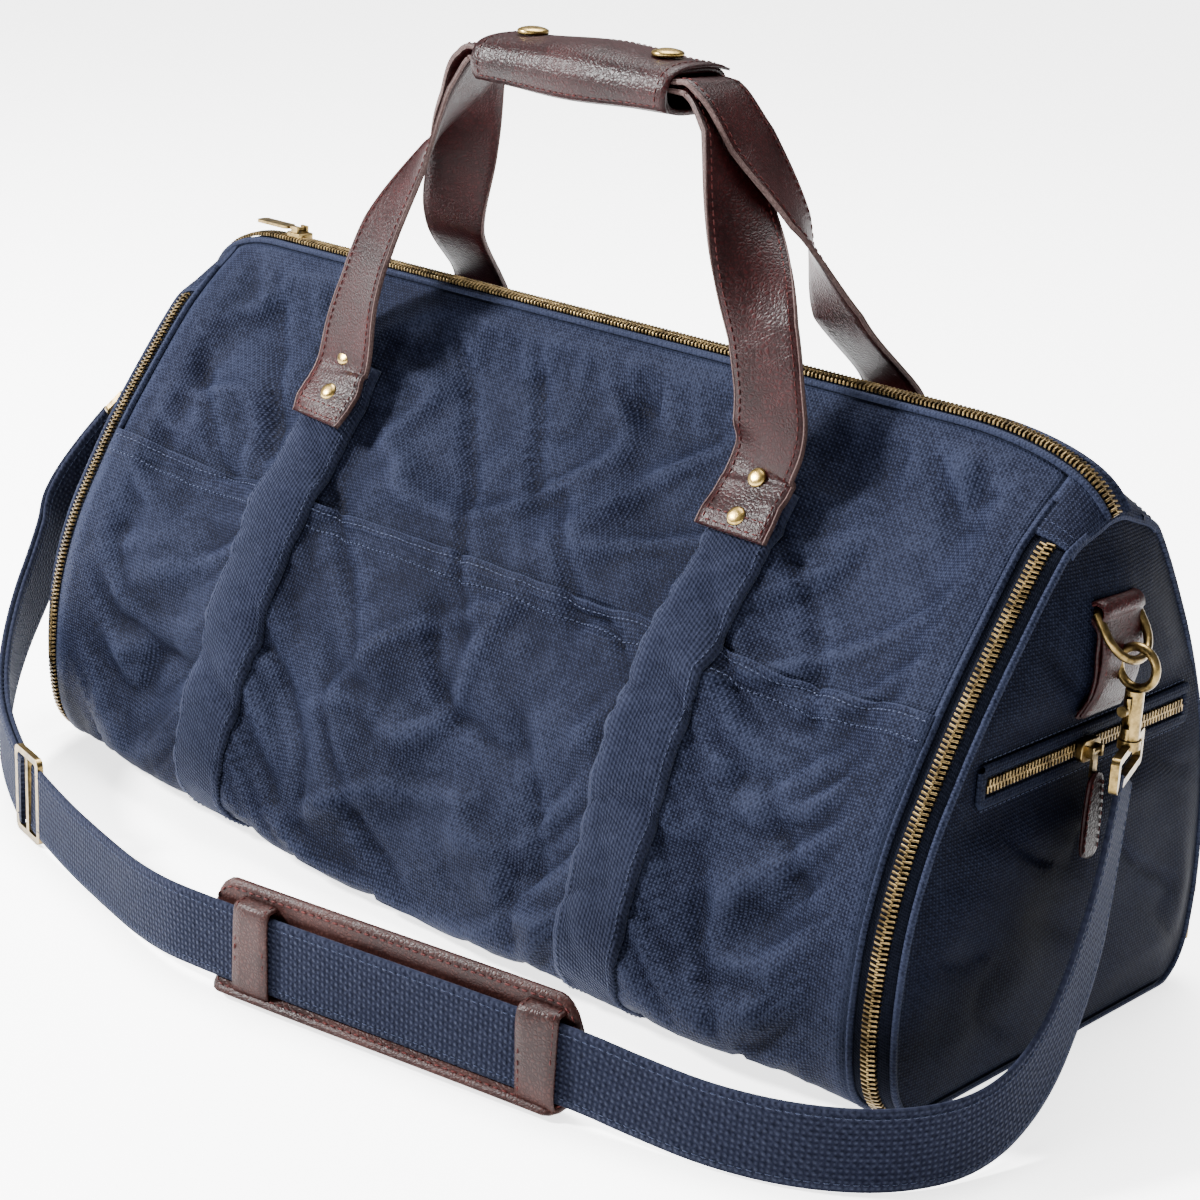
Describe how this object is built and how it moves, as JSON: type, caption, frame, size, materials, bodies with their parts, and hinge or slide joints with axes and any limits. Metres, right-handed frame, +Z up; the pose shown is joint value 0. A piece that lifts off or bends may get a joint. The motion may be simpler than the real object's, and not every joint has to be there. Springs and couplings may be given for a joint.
{
  "type": "weekender bag",
  "caption": "Waxed canvas weekender bag with zipped ends, riveted leather handles in a snap grip, D-rings and a clipped shoulder strap.",
  "frame": {"origin": "on the ground under the middle of the bag", "axes": "+X to the right end, -Y to the front with the slip pocket, +Z up"},
  "size_m": [0.6995, 0.3636, 0.4147],
  "materials": {
    "canvas": "waxed navy cotton duck",
    "webbing": "coarse navy cotton webbing",
    "lining": "plain cotton lining",
    "zip_tape": "navy herringbone zip tape",
    "leather": "oiled burgundy-brown pebbled leather",
    "brass": "antique brass, satin",
    "board": "stiff plastic sheet"
  },
  "bodies": {
    "bag": {"front_panel": "canvas", "back_panel": "canvas", "base_panel": "canvas", "end_panel_right": "canvas", "end_panel_left": "canvas", "end_cap_right": "canvas", "end_cap_left": "canvas", "front_pocket": "canvas", "lining": "lining", "base_board": "board", "pocket_pouch": "lining", "webbing_left": "webbing", "webbing_right": "webbing", "handle_tabs_front": "leather", "handle_tabs_back": "leather", "handle_rivets": "brass", "top_zip_tapes": "zip_tape", "top_zip_teeth_front": "brass", "top_zip_teeth_back": "brass", "side_zip_tapes_right": "zip_tape", "side_zip_tapes_left": "zip_tape", "side_zip_teeth_right": "brass", "side_zip_teeth_left": "brass", "pocket_welt": "canvas", "pocket_zip_tape": "zip_tape", "pocket_zip_teeth": "brass", "d_ring_tab_right": "leather", "d_ring_tab_left": "leather", "hook_eye_right": "brass", "hook_eye_left": "brass", "strap_main": "webbing", "strap_left_outer": "webbing", "strap_left_inner": "webbing", "strap_adjuster": "brass"},
    "handles": {"handle_front": "leather", "handle_back": "leather", "handle_flex_front": "leather", "handle_flex_back": "leather", "grip_wrap": "leather", "snap_studs": "brass"},
    "grip_flap": {"grip_flap": "leather", "snap_caps": "brass"},
    "top_slider": {"top_zip_slider": "brass"},
    "top_pull": {"top_zip_pull": "brass"},
    "pocket_slider": {"pocket_zip_slider": "brass"},
    "pocket_pull": {"pocket_zip_pull": "brass", "pocket_pull_leather": "leather"},
    "side_slider_right": {"side_zip_slider_right": "brass"},
    "side_pull_right": {"side_zip_pull_right": "brass"},
    "side_slider_left": {"side_zip_slider_left": "brass"},
    "side_pull_left": {"side_zip_pull_left": "brass"},
    "ring_right": {"d_ring_right": "brass"},
    "ring_left": {"d_ring_left": "brass"},
    "hook_right": {"hook_body_right": "brass"},
    "hook_left": {"hook_body_left": "brass"},
    "bolt_right": {"hook_bolt_right": "brass"},
    "bolt_left": {"hook_bolt_left": "brass"},
    "pad": {"shoulder_pad": "leather", "pad_loops": "leather"}
  },
  "joints": [
    {"name": "handles_swing", "type": "hinge", "parent": "bag", "child": "handles", "pos_m": [0, 0.005, 0.262], "axis": [1, 0, 0], "range_deg": [-28, 36], "deforming": ["handle_flex_front", "handle_flex_back"]},
    {"name": "grip_flap_open", "type": "hinge", "parent": "handles", "child": "grip_flap", "pos_m": [0, 0.0125, 0.4105], "axis": [1, 0, 0], "range_deg": [-150, 0]},
    {"name": "top_zip_slide", "type": "slide", "parent": "bag", "child": "top_slider", "axis": [1, 0, 0], "range_m": [0, 0.47]},
    {"name": "top_pull_flip", "type": "hinge", "parent": "top_slider", "child": "top_pull", "pos_m": [-0.236, 0.008, 0.28379], "axis": [0, 1, 0], "range_deg": [0, 170]},
    {"name": "pocket_zip_slide", "type": "slide", "parent": "bag", "child": "pocket_slider", "axis": [0, 1, 0], "range_m": [-0.058, 0.068]},
    {"name": "pocket_pull_lift", "type": "hinge", "parent": "pocket_slider", "child": "pocket_pull", "pos_m": [0.3072, -0.005, 0.15], "axis": [0, 1, 0], "range_deg": [-7, 0]},
    {"name": "side_zip_slide_right", "type": "slide", "parent": "bag", "child": "side_slider_right", "axis": [0, 0, 1], "range_m": [0, 0.03]},
    {"name": "side_pull_lift_right", "type": "hinge", "parent": "side_slider_right", "child": "side_pull_right", "pos_m": [0.29219, 0.11583, 0.046], "axis": [0.8192, -0.5736, 0], "range_deg": [0, 110]},
    {"name": "ring_tilt_right", "type": "hinge", "parent": "bag", "child": "ring_right", "pos_m": [0.3065, 0, 0.214], "axis": [0, 1, 0], "range_deg": [-3, 3]},
    {"name": "hook_swivel_right", "type": "hinge", "parent": "bag", "child": "hook_right", "pos_m": [0.32027, 0, 0.19074], "axis": [0, 0, -1], "range_deg": [-15, 15]},
    {"name": "bolt_slide_right", "type": "slide", "parent": "hook_right", "child": "bolt_right", "axis": [0, 0, -1], "range_m": [0, 0.006], "stiffness_N_per_m": 60, "springref_m": -0.002},
    {"name": "side_zip_slide_left", "type": "slide", "parent": "bag", "child": "side_slider_left", "axis": [0, 0, 1], "range_m": [0, 0.03]},
    {"name": "side_pull_lift_left", "type": "hinge", "parent": "side_slider_left", "child": "side_pull_left", "pos_m": [-0.29219, 0.11583, 0.046], "axis": [0.8192, 0.5736, 0], "range_deg": [0, 110]},
    {"name": "ring_tilt_left", "type": "hinge", "parent": "bag", "child": "ring_left", "pos_m": [-0.3065, 0, 0.214], "axis": [0, 1, 0], "range_deg": [-1.2, 0.6]},
    {"name": "hook_swivel_left", "type": "hinge", "parent": "bag", "child": "hook_left", "pos_m": [-0.32177, -0.00192, 0.1917], "axis": [-0.4175, -0.5344, -0.7349], "range_deg": [-6, 6]},
    {"name": "bolt_slide_left", "type": "slide", "parent": "hook_left", "child": "bolt_left", "axis": [-0.4175, -0.5344, -0.7349], "range_m": [0, 0.006], "stiffness_N_per_m": 60, "springref_m": -0.002},
    {"name": "pad_slide", "type": "slide", "parent": "bag", "child": "pad", "axis": [0.9828, 0.1849, 0], "range_m": [0, 0.008]}
  ]
}
